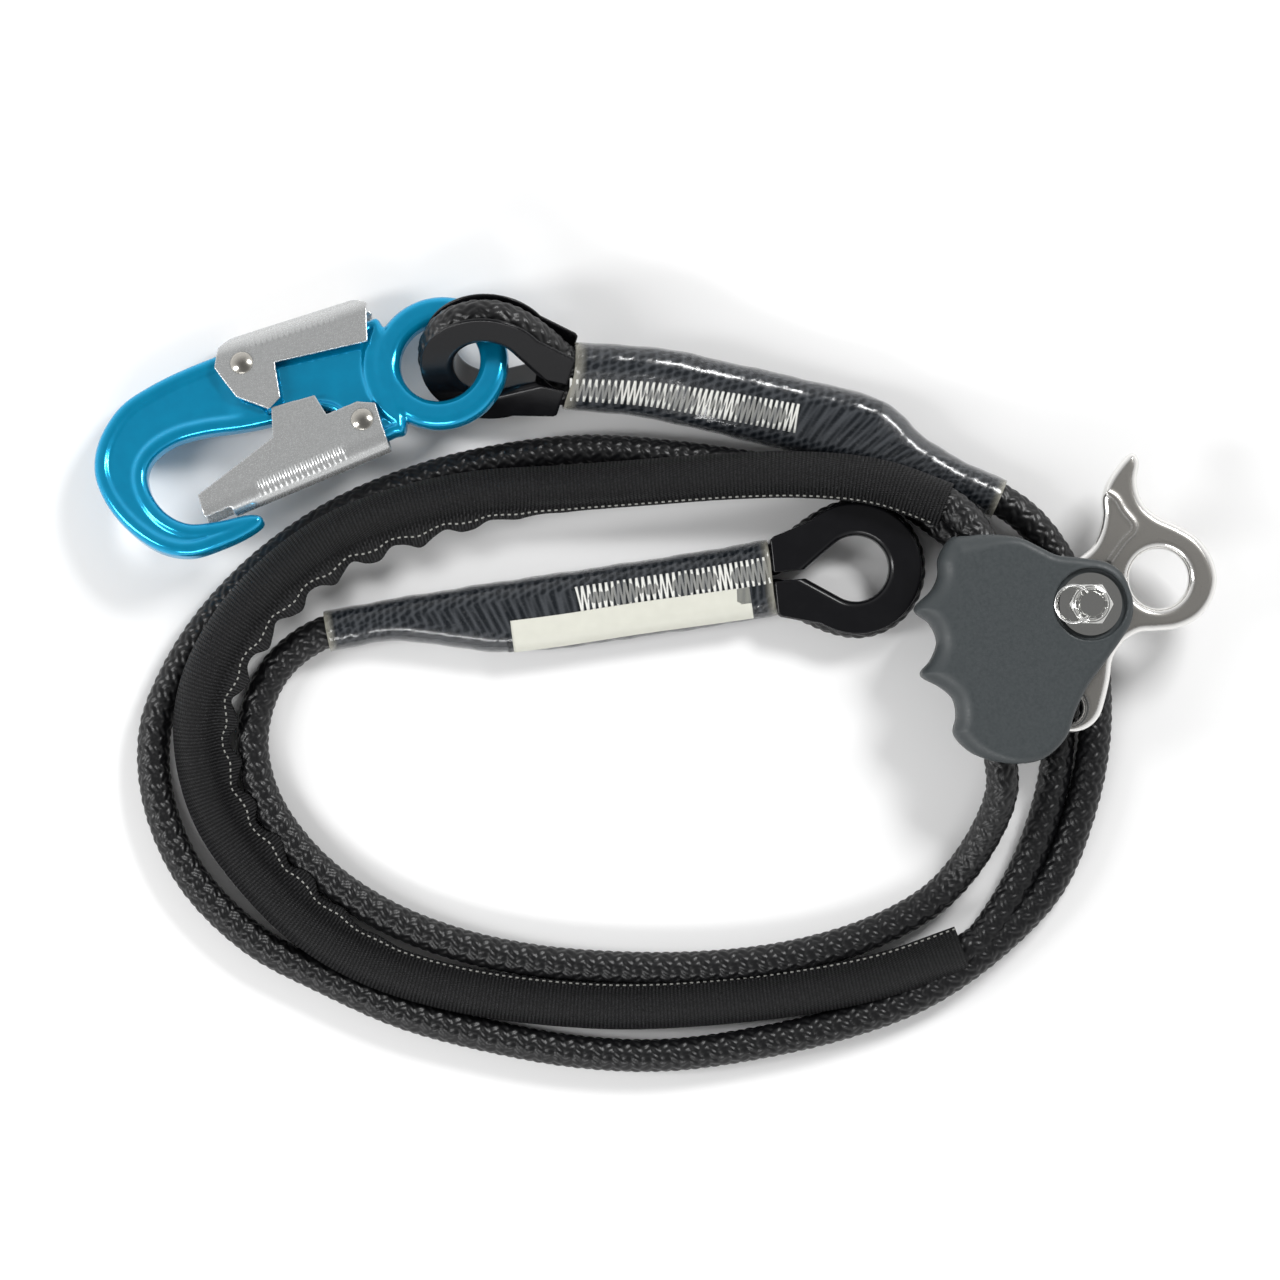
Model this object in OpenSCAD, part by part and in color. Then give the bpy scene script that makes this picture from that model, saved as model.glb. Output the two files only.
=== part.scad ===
// Positioning lanyard with a cam rope grab, for roofing and siding work.
// It is drawn as it lies on a flat floor: floor at z = 0, +X to the right, +Y away from the user.

/* [Rope] */
// Diameter of the braided rope
rope_d = 11.2; // [9:0.1:13]
// Outside radius of the webbing chafe sleeve
chafe_r = 7.0; // [6:0.1:9]
// Wall of the webbing chafe sleeve
chafe_wall = 1.1; // [0.8:0.1:2]
// Outside radius of a splice sleeve over one rope
splice_r = 6.7; // [6:0.1:8]
// Wall of a splice sleeve
splice_wall = 0.7; // [0.5:0.1:1.5]

/* [Thimbles] */
// Radius of the opening at the round end
eye_hole_r = 11; // [8:0.5:14]
// Radius of the rope's centre line round the thimble
eye_rope_r = 18; // [15:0.5:22]
// Radius of the flanges
eye_flange_r = 22; // [19:0.5:26]
// Thickness of one flange
eye_flange_t = 1.2; // [1:0.1:3]
// Roll of the hook thimble about its own length
hook_eye_roll = 43; // [0:1:60]
// Pitch of the hook thimble
hook_eye_pitch = -7; // [-15:1:15]

/* [Snap hook] */
// Thickness of the forged body
hook_t = 8.4; // [7:0.1:12]
// Outside radius of the hook's ring
hook_ring_r = 22.8; // [20:0.1:26]
// Inside radius of the hook's ring
hook_ring_hole = 13.5; // [11:0.1:15]
// Roll of the hook about its length, which lifts its gate
hook_roll = 16.3; // [0:0.1:20]
// Pitch of the hook, which lifts its ring
hook_pitch = 2.4; // [0:0.1:6]
// Angle of the hook's length in plan
hook_yaw = 197.5; // [180:0.5:220]
// Thickness of the gate's and the lever's sheet steel
sheet_t = 1.2; // [0.8:0.1:2]

/* [Rope grab] */
// Height of the rope's centre line inside the grab
grab_z = 26; // [22:0.5:32]
// Thickness of one wall of the finger grip
grip_wall = 5.1; // [3:0.1:8]
// Thickness of the cam arm
cam_t = 11.4; // [8:0.1:12]
// Radius of the hole in the cam arm's eye
cam_eye_r = 9.9; // [8:0.1:12]
// Radius of the axle bolt's shank
axle_r = 4; // [3:0.5:6]
// Thickness of the steel channel's sheet
channel_t = 2; // [1.5:0.1:3]

/* [Output] */
// Which sub-part to draw

/* [Hidden] */
$fn = 48;
black = [0.07, 0.07, 0.08];
steel = [0.72, 0.72, 0.70];
blue = [0.0, 0.45, 0.75];
slate = [0.24, 0.27, 0.28];
clear = [0.35, 0.38, 0.42, 0.6];

rope_r = rope_d / 2;
sides = 12;

// Everything is shifted by this, which puts the hard pieces' middle over the origin.
seat = [-0.4, 1.7, 0];
function seated(list) = [for (p = list) p + seat];

// Places of the main pieces.
hook_eye = seat + [-55, 55.6, 20.1];
hook_eye_yaw = 166.9;
tail_eye = seat + [68, -15, 7.6];
tail_eye_yaw = 6;
hook_at = seat + [-70.7, 53.3, 18.2];
axle_at = seat + [145, -27, 0];

// The rope's route, chosen by hand. The first tail and the standing part in the hook's splice:
hook_tail = seated([[76, 35.5, 9], [51, 41.5, 9], [26, 47, 11.5], [1, 52.4, 17.4]]);
hook_standing = seated([[-1, 42.4, 9.8], [23, 36.8, 7.4], [46, 31.2, 7], [66, 26, 8.5], [82, 21.4, 9.2], [100, 15.2, 9.2],
    [116, 8.2, 9.2]]);
// The outer loop, from the hook's splice clockwise to where the webbing begins:
outer_loop = seated([[127, 0, 8.5], [136, -12, 6.2], [144, -28, 5.8], [148, -50, 5.6], [148, -73, 5.6], [143, -97, 5.6],
    [133, -121, 5.6], [114, -141, 5.6], [91, -157, 5.6], [65, -167, 5.6], [35, -174, 5.6], [5, -178, 5.6],
    [-24, -177, 5.6], [-53, -172, 5.6], [-83, -164, 5.6], [-110, -152, 5.6], [-134, -139, 5.6], [-154, -119, 5.6],
    [-165, -95, 5.6], [-167, -71, 5.6], [-160, -51, 5.6], [-147, -31, 5.6], [-128, -12, 5.6], [-104, 4, 5.6],
    [-77, 15, 5.6], [-50, 21.5, 5.6], [-22, 24.5, 5.6], [8, 22.5, 5.6], [36, 18.6, 5.6], [60, 15.4, 5.6],
    [78, 12.6, 5.6], [92, 3.6, 5.6], [108, -9, 5.6], [122, -23, 5.6], [132, -42, 5.6], [136, -64, 5.6],
    [134, -88, 5.6], [126, -113, 5.6], [114, -134, 6.2]]);
// The stretch inside the webbing:
covered = seated([[104, -143, 7], [78, -152, 7.2], [50, -157.5, 7.2], [20, -161, 7.2], [-10, -162.4, 7.2],
    [-40, -160.5, 7.2], [-68, -156, 7.4], [-94, -148, 8], [-116, -135, 9.4], [-134, -117, 9.4], [-147, -98, 9.4],
    [-153, -77, 10.5], [-152, -57, 14.5], [-143, -37, 16.8], [-128, -19, 17.2], [-108, -4, 16.8], [-84, 5.4, 16.6],
    [-58, 10.8, 15.6], [-30, 12.6, 13.4], [-2, 14.6, 15.6], [26, 16.6, 18], [52, 17, 19.4], [76, 14.4, 20.4],
    [98, 6.6, 22]]);
// Through the grab and round the inner loop to the tail's splice:
inner_loop = seated([[107.9, -3.4, 25.3], [109.6, -13, 26], [112.4, -44, 26], [115.4, -76, 26], [116.4, -88, 23.5],
    [112.5, -101, 15.5], [103.5, -116, 7.6], [91, -128, 5.6], [70, -138.5, 5.6], [44, -145.5, 5.6],
    [16, -148.6, 5.6], [-14, -148.6, 5.6], [-42, -146, 5.6], [-68, -140, 5.6], [-92, -130, 5.6],
    [-113, -115, 5.6], [-128, -96, 5.6], [-134, -77, 5.6], [-132, -60, 5.6], [-124, -46, 5.8], [-109, -36, 6.6]]);
// In the tail's splice, and the second tail:
tail_standing = seated([[-86, -31.6, 7], [-60, -27.4, 7], [-34, -23.6, 7], [-8, -19.8, 7], [18, -15.8, 7]]);
tail_tail = seated([[17.5, -28, 7], [-7, -31.4, 7], [-30, -35, 7], [-49, -37.6, 7]]);

// The rope round an eye, in the eye's own frame: the legs come in from -X.
eye_path = [[-28, -6, 0], [-18, -10.6, 0], for (a = [-120:30:120]) [eye_rope_r * cos(a), eye_rope_r * sin(a), 0],
    [-18, 10.6, 0], [-28, 6, 0]];

// Vectors.
function unit(v) = v / norm(v);
function turn_x(p, a) = [p.x, p.y * cos(a) - p.z * sin(a), p.y * sin(a) + p.z * cos(a)];
function turn_y(p, a) = [p.x * cos(a) + p.z * sin(a), p.y, p.z * cos(a) - p.x * sin(a)];
function turn_z(p, a) = [p.x * cos(a) - p.y * sin(a), p.x * sin(a) + p.y * cos(a), p.z];
function place(p, at, yaw, pitch, roll) = turn_z(turn_y(turn_x(p, roll), pitch), yaw) + at;
function flipped(list) = [for (i = [len(list) - 1:-1:0]) list[i]];

// Sweeps: a route's direction at point i, and its sideways and upward unit vectors.
function along(route, i) = unit(route[min(i + 1, len(route) - 1)] - route[max(i - 1, 0)]);
function sideways(t) = unit(cross([0, 0, 1], t));
function upward(t) = cross(t, sideways(t));

// A ring of points round p, in the plane across the route, from angle a0 over the span.
function ring(p, t, r, n, a0 = 0, span = 360) =
    [for (k = [0:n - 1]) p + r * (cos(a0 + span * k / n) * sideways(t) + sin(a0 + span * k / n) * upward(t))];
// A ring round two ropes that lie side by side: half round the right one and half round the left one.
function pair_ring(right, left, t, r, n) = [
    for (k = [0:n / 2]) ring(left, t, r, n, -90)[k],
    for (k = [n / 2:n]) ring(right, t, r, n, -90)[k % n]];

// Faces between rings of n points.
function wall_faces(rings, n, base = 0, inward = false) = [
    for (i = [0:rings - 2], k = [0:n - 1])
        let (a = base + i * n + k, b = base + i * n + (k + 1) % n)
        each inward ? [[a, a + n, b + n], [a, b + n, b]] : [[a, b, b + n], [a, b + n, a + n]]];

// A closed solid through a list of rings.
module skin(rings) {
    n = len(rings[0]);
    last = (len(rings) - 1) * n;
    start_cap = [for (k = [1:n - 2]) [0, k + 1, k]];
    end_cap = [for (k = [1:n - 2]) [last, last + k, last + k + 1]];
    polyhedron([for (r = rings) each r], concat(wall_faces(len(rings), n), start_cap, end_cap));
}

// A tube with a wall: outer and inner rings, with open ends.
module shell(outer, inner) {
    n = len(outer[0]);
    m = len(outer) * n;
    last = m - n;
    start_cap = [for (k = [0:n - 1]) let (j = (k + 1) % n) each [[k, m + j, j], [k, m + k, m + j]]];
    end_cap = [for (k = [0:n - 1]) let (j = (k + 1) % n)
        each [[last + k, last + j, m + last + j], [last + k, m + last + j, m + last + k]]];
    polyhedron([for (r = outer) each r, for (r = inner) each r],
        concat(wall_faces(len(outer), n), wall_faces(len(outer), n, m, true), start_cap, end_cap));
}

// A round tube along a route.
module tube(route, r, n) {
    skin([for (i = [0:len(route) - 1]) ring(route[i], along(route, i), r, n)]);
}

// A strip of a given width and thickness on a route, lifted off it sideways and upward.
module strip(route, width, thick, side = 0, up = 0) {
    skin([for (i = [0:len(route) - 1])
        let (t = along(route, i), s = sideways(t), u = upward(t), p = route[i] + side * s + up * u)
        [p - width / 2 * s - thick / 2 * u, p + width / 2 * s - thick / 2 * u,
            p + width / 2 * s + thick / 2 * u, p - width / 2 * s + thick / 2 * u]]);
}

// A coil spring along Z: close rings of wire joined into one helix.
module coil(r, wire, height, turns) {
    steps = turns * 10;
    route = [for (i = [0:steps]) [r * cos(36 * i), r * sin(36 * i), wire + (height - 2 * wire) * i / steps]];
    tube(route, wire, 6);
}

// A smooth closed outline through a few points, as a Catmull-Rom curve with m steps a span.
function smooth(p, m = 4) = let (n = len(p)) [
    for (i = [0:n - 1], k = [0:m - 1])
        let (a = p[(i + n - 1) % n], b = p[i], c = p[(i + 1) % n], d = p[(i + 2) % n], t = k / m)
        0.5 * (2 * b + (c - a) * t + (2 * a - 5 * b + 4 * c - d) * t * t + (3 * b - a - 3 * c + d) * t * t * t)];

// ---- Rope, splices and webbing ----

hook_eye_route = [for (p = flipped(eye_path)) place(p, hook_eye, hook_eye_yaw, hook_eye_pitch, -hook_eye_roll)];
tail_eye_route = [for (p = flipped(eye_path)) place(p, tail_eye, tail_eye_yaw, 0, 0)];
rope_route = concat(hook_tail, flipped(hook_eye_route), hook_standing, outer_loop, covered, inner_loop,
    tail_standing, tail_eye_route, tail_tail);

module rope() {
    color(black) tube(rope_route, rope_r, sides);
}

module chafe_sleeve() {
    ends = [for (i = [0:len(covered) - 1]) along(covered, i)];
    color(black) shell(
        [for (i = [0:len(covered) - 1]) ring(covered[i], ends[i], chafe_r, sides)],
        [for (i = [0:len(covered) - 1]) ring(covered[i], ends[i], chafe_r - chafe_wall, sides)]);
}

module chafe_stitching() {
    color("white") strip(covered, 0.5, 1.2, -chafe_r - 0.1, 1);
}

// The pairs of ropes inside each splice sleeve, right and left of the direction of travel.
hook_leg_low = hook_eye_route[0];
hook_leg_high = hook_eye_route[len(hook_eye_route) - 1];
hook_right = concat([hook_leg_low], hook_standing);
hook_left = [hook_leg_high, hook_tail[3], hook_tail[2], hook_tail[1], hook_tail[0], seat + [86, 24, 9], hook_standing[5],
    hook_standing[6]];
hook_mid = (hook_right + hook_left) / 2;
tail_left = concat([inner_loop[len(inner_loop) - 1]], tail_standing, [tail_eye_route[0]]);
tail_right = [tail_left[0], tail_left[1], seat + [-54, -36.6, 7], tail_tail[2], tail_tail[1], tail_tail[0],
    tail_eye_route[len(tail_eye_route) - 1]];
tail_mid = (tail_right + tail_left) / 2;

module splice(right, left, mid) {
    steps = [0:len(mid) - 1];
    shell([for (i = steps) pair_ring(right[i], left[i], along(mid, i), splice_r, sides)],
        [for (i = steps) pair_ring(right[i], left[i], along(mid, i), splice_r - splice_wall, sides)]);
}

module hook_splice_sleeve() {
    color(clear) splice(hook_right, hook_left, hook_mid);
}

module tail_splice_sleeve() {
    color(clear) splice(tail_right, tail_left, tail_mid);
}

module hook_splice_stitching() {
    color("white") strip([for (i = [0:3]) hook_mid[i]], 9, 0.8, 0, rope_r - 1);
}

module tail_splice_stitching() {
    color("white") strip([for (i = [3:6]) tail_mid[i]], 6, 0.8, 2.6, rope_r - 1);
}

// The label lies on the second tail, under the clear sleeve.
label_route = [seat + [-47, -37.2, 7], tail_tail[2], tail_tail[1], tail_tail[0], seat + [33, -25.8, 7]];

module data_label() {
    arc = [for (a = [30:15:135]) a];
    n = len(arc);
    outer_r = splice_r - splice_wall - 0.05;
    inner_r = rope_r + 0.05;
    rings = [for (i = [0:len(label_route) - 1]) let (t = along(label_route, i), s = sideways(t), u = upward(t))
        concat([for (a = arc) label_route[i] + outer_r * (-cos(a) * s + sin(a) * u)],
            [for (a = flipped(arc)) label_route[i] + inner_r * (-cos(a) * s + sin(a) * u)])];
    m = 2 * n;
    last = (len(rings) - 1) * m;
    start_cap = [for (k = [0:n - 2]) each [[k, k + 1, m - 2 - k], [k, m - 2 - k, m - 1 - k]]];
    end_cap = [for (k = [0:n - 2])
        each [[last + k, last + m - 2 - k, last + k + 1], [last + k, last + m - 1 - k, last + m - 2 - k]]];
    color([0.88, 0.88, 0.84]) polyhedron([for (r = rings) each r],
        concat([for (f = wall_faces(len(rings), m)) flipped(f)], start_cap, end_cap));
}

// ---- Thimbles ----

eye_half = rope_r + 0.1 + eye_flange_t;

module eye_opening() {
    hull() {
        circle(eye_hole_r);
        translate([-18.5, 0]) circle(0.5);
    }
    translate([-32, -1.5]) square([16, 3]);
}

module eye_flange() {
    linear_extrude(eye_flange_t) difference() {
        hull() {
            circle(eye_flange_r);
            translate([-27.5, -13.5]) square([1, 27]);
        }
        eye_opening();
    }
}

module thimble() {
    core_r = eye_rope_r - rope_r - 0.1;
    translate([0, 0, -eye_half]) eye_flange();
    translate([0, 0, eye_half - eye_flange_t]) eye_flange();
    translate([0, 0, -eye_half]) linear_extrude(2 * eye_half) difference() {
        hull() {
            circle(core_r);
            translate([-20, 0]) circle(0.8);
        }
        eye_opening();
    }
}

module hook_thimble() {
    color(black) translate(hook_eye) rotate([0, 0, hook_eye_yaw]) rotate([0, hook_eye_pitch, 0])
        rotate([-hook_eye_roll, 0, 0]) thimble();
}

module tail_thimble() {
    color(black) translate(tail_eye) rotate([0, 0, tail_eye_yaw]) thimble();
}

// ---- Rope grab: drawn about the axle, which stands along Z ----

slot_half = cam_t / 2 + 0.5 + channel_t + 0.2;
grip_z0 = grab_z - slot_half - grip_wall;
grip_z1 = grab_z + slot_half + grip_wall;
recess_depth = 2.4;
washer_t = 1.4;
nut_z = grip_z1 - recess_depth + washer_t;
nut_h = 7.6;
head_r = 7;
head_h = 2.8;

grip_outline = [[-50, 15.4], [-46, 21.9], [-40, 23], [-31, 23], [-23, 21.8], [-17, 19], [-11, 16.2], [-3, 15.3],
    [5, 14], [10, 10.8], [12.6, 6], [14.2, 0], [13.4, -6.2], [10, -12], [4, -20.4], [-1, -27.4], [-5.1, -36],
    [-7.4, -43], [-11.5, -48.2], [-17, -51.8], [-25, -52.9], [-34.8, -51.4], [-41, -48], [-45, -43], [-44.1, -37.5],
    [-45.2, -31.6], [-49.6, -27.6], [-55.2, -24.6], [-55.8, -22.4], [-52.6, -18.6], [-50.6, -12.6],
    [-53, -6.6], [-57.4, -3.2], [-57.6, -0.6], [-52.6, 4.3], [-50.2, 9.4]];
// The rope's line inside the grab, and unit steps along it and to its right.
line_top = [-35.5, 16];
line_low = [-29.6, -51];
line_dir = unit([line_low.x - line_top.x, line_low.y - line_top.y]);
line_right = [-line_dir.y, line_dir.x];
function beside(p, d, s = 0) = p + line_right * d + line_dir * s;
back_gap = rope_r + 0.3;

module grip_slot() {
    left = -back_gap - channel_t - 0.3;
    polygon([beside(line_top, left, -20), beside(line_low, left, 12), [30, -70], [30, 40]]);
}

module finger_grip() {
    color(slate) translate(axle_at) difference() {
        translate([0, 0, grip_z0]) linear_extrude(grip_z1 - grip_z0) polygon(smooth(grip_outline, 4));
        translate([0, 0, grab_z - slot_half]) linear_extrude(2 * slot_half) grip_slot();
        translate([0, 0, grip_z0 - 1]) cylinder(r = axle_r + 0.1, h = 60);
        translate([0, 0, grip_z1 - recess_depth]) cylinder(r = 12, h = 10);
        translate([0, 0, grip_z0 - 1]) cylinder(r = head_r + 0.6, h = head_h + 1.6);
    }
}

module channel_plate() {
    linear_extrude(channel_t) difference() {
        polygon([beside(line_top, -back_gap - channel_t, -3), beside(line_top, 12, -3), [-10, 12.5], [0, 12.4], [8, 9],
            [11.6, 0], [9, -9.5], [-2, -20], [-8, -34], [-14, -46], beside(line_low, 8, -2),
            beside(line_low, -back_gap - channel_t, -2)]);
        circle(axle_r + 0.1);
    }
}

module steel_channel() {
    low = grab_z - slot_half + 0.2;
    back = [beside(line_top, -back_gap - channel_t, -3), beside(line_top, -back_gap, -3),
        beside(line_low, -back_gap, -2), beside(line_low, -back_gap - channel_t, -2)];
    color(steel) translate(axle_at) {
        translate([0, 0, low]) channel_plate();
        translate([0, 0, grab_z + slot_half - 0.2 - channel_t]) channel_plate();
        translate([0, 0, low]) linear_extrude(2 * (slot_half - 0.2)) polygon(back);
    }
}

module axle_bolt() {
    top = nut_z + nut_h + 0.8;
    color(steel) translate(axle_at) difference() {
        union() {
            translate([0, 0, grip_z0 + 0.1]) cylinder(r = head_r, h = head_h - 0.6);
            translate([0, 0, grip_z0 + 0.1]) cylinder(r = axle_r, h = top - grip_z0);
        }
        translate([0, 0, nut_z + 5.6]) rotate([90, 0, 0]) cylinder(r = 0.9, h = 20, center = true);
    }
}

module flat_washer(r_out, r_in, t) {
    difference() {
        cylinder(r = r_out, h = t);
        translate([0, 0, -1]) cylinder(r = r_in, h = t + 2);
    }
}

module head_washer() {
    color(steel) translate(axle_at + [0, 0, grip_z0 + head_h - 0.5]) flat_washer(head_r + 0.3, axle_r + 0.1, 1);
}

module nut_washer() {
    color(steel) translate(axle_at + [0, 0, grip_z1 - recess_depth]) flat_washer(10.4, axle_r + 0.1, washer_t);
}

module castle_nut() {
    hex_h = 4.4;
    color(steel) translate(axle_at + [0, 0, nut_z]) difference() {
        union() {
            cylinder(r = 13 / 2 / cos(30), h = hex_h, $fn = 6);
            cylinder(r = 5.6, h = nut_h);
        }
        translate([0, 0, -1]) cylinder(r = axle_r, h = 20);
        for (a = [0:60:120]) rotate([0, 0, a]) translate([-1.2, -10, hex_h + 0.4]) cube([2.4, 20, 10]);
    }
}

// Two turns of wire through the bolt's cross hole, leaning on the washer.
module split_ring() {
    r = 6.2;
    lean = 21.5;
    color(steel) translate(axle_at + [0, 0, nut_z + 5.6]) rotate([0, -lean, 0]) translate([-r, 0, 0])
        for (z = [-0.52, 0.52]) translate([0, 0, z]) rotate_extrude() translate([r, 0]) circle(0.5);
}

cam_outline = [[15, 50], [16.4, 47], [15.8, 41.5], [16.6, 36.6], [19, 32.2], [23.4, 28.9], [30, 25.9], [36, 22],
    [40.3, 16.4], [42.4, 10], [41.9, 4.2], [39.4, -1.2], [35.2, -5.4], [29, -8.1], [22.1, -8.9], [16.8, -9.3],
    [12.3, -11.8], [9.2, -15.4], [7.6, -19], [6.8, -25], [5.4, -31.2], [3.6, -36.8], [0.6, -40.4], [-3.4, -42.3],
    [-8, -42.4], [-12, -39.6], [-15.4, -33], [-20, -26], [-24, -18.6], [-26.6, -10], [-27.2, -2], [-25.6, 4],
    [-21, 9.4], [-13, 12.8], [-5, 14.6], [0.6, 18.6], [3.4, 23.7], [4.6, 29.6], [4.4, 35.6], [6.2, 41], [10, 46.6]];
cam_eye = [23.1, 8.5];
spring_pocket_r = 10.5;
spring_pocket_h = 5.4;
bush_r = 6;

module cam_arm() {
    low = grab_z - cam_t / 2;
    color(steel) translate(axle_at) difference() {
        translate([0, 0, low]) linear_extrude(cam_t) polygon(smooth(cam_outline, 3));
        translate([cam_eye.x, cam_eye.y, low - 1]) cylinder(r = cam_eye_r, h = cam_t + 2);
        translate([0, 0, low - 1]) cylinder(r = bush_r, h = cam_t + 2);
        translate([0, 0, low - 1]) cylinder(r = spring_pocket_r, h = spring_pocket_h + 1);
        translate([-7.4, -34.4, low - 1]) cylinder(r = 5.4, h = cam_t + 2);
    }
}

module cam_bush() {
    color("gold") translate(axle_at + [0, 0, grab_z - cam_t / 2]) flat_washer(bush_r, axle_r + 0.05, cam_t);
}

module cam_spring() {
    color(steel) translate(axle_at + [0, 0, grab_z - cam_t / 2 + 0.3]) coil(8.2, 0.5, 4.6, 3);
}

// ---- Snap hook: drawn with the ring's centre at the origin, +X towards the bow, +Y towards the spine ----

module at_hook() {
    translate(hook_at) rotate([0, 0, hook_yaw]) rotate([0, hook_pitch, 0]) rotate([180 + hook_roll, 0, 0]) children();
}

gate_pivot = [30, -12.2];
lock_pivot = [63.3, 19];
plate_gap = hook_t / 2 + 0.3;
lock_gap = plate_gap + sheet_t + 0.3;
rivet_r = 2;

hook_outline = [[15, 17.8], [20, 21.4], [28, 23.4], [45, 25], [64, 25.8], [80, 25], [94, 23], [106, 19.4], [114.6, 12.6],
    [119.8, 4.6], [121.5, -4], [119.6, -14.6], [114.4, -25.4], [107, -34], [97.6, -38.6], [86, -38.6], [77, -37.2],
    [72, -35.2], [71.8, -32.6], [76, -30.8], [86, -29.8], [95.4, -27.6], [101.6, -22], [104.8, -14], [104.4, -6.6],
    [100, -1.6], [92, 0.8], [82, 0.4], [70, -1.8], [58, -3], [46, -3], [39.4, -5.6], [36.6, -11], [34.6, -17],
    [29.4, -19.4], [22, -19.6], [16.4, -15.8]];

module hook_body() {
    color(blue) at_hook() difference() {
        union() {
            translate([0, 0, -hook_t / 2]) linear_extrude(hook_t) polygon(smooth(hook_outline, 3));
            rotate_extrude() translate([(hook_ring_r + hook_ring_hole) / 2, 0]) ring_section();
        }
        cylinder(r = hook_ring_hole, h = 40, center = true);
        translate([gate_pivot.x, gate_pivot.y, 0]) cylinder(r = rivet_r, h = 40, center = true);
        translate([lock_pivot.x, lock_pivot.y, 0]) cylinder(r = rivet_r, h = 40, center = true);
    }
}

module ring_section() {
    wide = hook_ring_r - hook_ring_hole;
    polygon([[-wide / 2, -2.2], [-wide / 2 + 1.8, -4.1], [wide / 2 - 2.2, -4.1], [wide / 2, -2], [wide / 2, 2],
        [wide / 2 - 2.2, 4.1], [-wide / 2 + 1.8, 4.1], [-wide / 2, 2.2]]);
}

// Two side plates and the bend that joins them, folded from one sheet.
module folded(outline, gap, bend_from, bend_to, pivot) {
    run = bend_to - bend_from;
    difference() {
        union() {
            for (z = [gap, -gap - sheet_t]) translate([0, 0, z]) linear_extrude(sheet_t) polygon(outline);
            translate([bend_from.x, bend_from.y, 0]) rotate([0, 0, atan2(run.y, run.x)])
                translate([0, -sheet_t, -gap - sheet_t]) cube([norm(run), sheet_t, 2 * (gap + sheet_t)]);
        }
        translate([pivot.x, pivot.y, 0]) cylinder(r = rivet_r + 0.05, h = 40, center = true);
    }
}

module gate() {
    outline = [[24, -24], [24.2, -8], [30, -5.6], [41, -6.6], [43, 1], [58, 1.6], [60.5, -8.6], [89.8, -20],
        [89.8, -30.4]];
    color(steel) at_hook() folded(outline, plate_gap, [35, -23.2], [70.5, -27.1], gate_pivot);
}

module lock_lever() {
    outline = [[17.6, 26.4], [20.8, 13], [52.6, 15.8], [54, 3.6], [59, 0.8], [68.2, 8.2], [70.4, 14], [72.6, 20.3],
        [69.6, 27], [63.7, 30.4], [22.9, 30.5]];
    color(steel) at_hook() folded(outline, lock_gap, [61.5, 29.3], [24.5, 29.3], lock_pivot);
}

module rivet(at, half) {
    head_t = 1;
    at_hook() translate([at.x, at.y, 0]) {
        cylinder(r = rivet_r, h = 2 * half, center = true);
        translate([0, 0, half]) cylinder(r1 = 4.2, r2 = 3.2, h = head_t);
        translate([0, 0, -half - head_t]) cylinder(r1 = 3.2, r2 = 4.2, h = head_t);
    }
}

module gate_rivet() {
    color(steel) rivet(gate_pivot, plate_gap + sheet_t + 0.1);
}

module lock_rivet() {
    color(steel) rivet(lock_pivot, lock_gap + sheet_t + 0.1);
}

module gate_spring() {
    color(steel) at_hook() translate([52, -4, 0]) rotate([90, 0, 0]) coil(2.8, 0.5, 19, 6);
}

module lock_spring() {
    color(steel) at_hook() translate([40, 25.4, 0]) rotate([-90, 0, 0]) coil(2.8, 0.5, 3.2, 2);
}

rope();
chafe_sleeve();
chafe_stitching();
hook_splice_sleeve();
hook_splice_stitching();
tail_splice_sleeve();
tail_splice_stitching();
data_label();
hook_thimble();
tail_thimble();
finger_grip();
steel_channel();
axle_bolt();
head_washer();
nut_washer();
castle_nut();
split_ring();
cam_arm();
cam_bush();
cam_spring();
hook_body();
gate();
gate_rivet();
gate_spring();
lock_lever();
lock_rivet();
lock_spring();
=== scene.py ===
"""A positioning lanyard with a cam rope grab, a snap hook and two thimble eyes, laid on a pale floor.
Lengths inside the script are in millimetres, and MM turns them into the frame's metres."""

import math

import bpy
import numpy as np
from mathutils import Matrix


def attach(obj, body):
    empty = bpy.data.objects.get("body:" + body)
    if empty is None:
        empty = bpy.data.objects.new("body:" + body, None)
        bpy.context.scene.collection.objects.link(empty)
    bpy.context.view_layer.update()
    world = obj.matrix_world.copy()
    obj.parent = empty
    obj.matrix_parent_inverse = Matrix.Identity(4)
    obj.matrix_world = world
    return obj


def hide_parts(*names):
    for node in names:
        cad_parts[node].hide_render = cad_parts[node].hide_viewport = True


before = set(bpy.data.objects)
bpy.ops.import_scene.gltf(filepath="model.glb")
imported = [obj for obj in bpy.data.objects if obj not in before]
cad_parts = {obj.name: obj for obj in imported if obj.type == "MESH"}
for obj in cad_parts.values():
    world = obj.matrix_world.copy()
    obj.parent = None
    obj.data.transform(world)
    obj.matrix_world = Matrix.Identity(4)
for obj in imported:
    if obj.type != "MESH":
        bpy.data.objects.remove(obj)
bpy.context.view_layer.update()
MM = 0.001
SEAT = np.array([-0.4, 1.7, 0.0])
UP = np.array([0.0, 0.0, 1.0])

# ---- Driving sizes, the same as the CAD's ----

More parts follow.
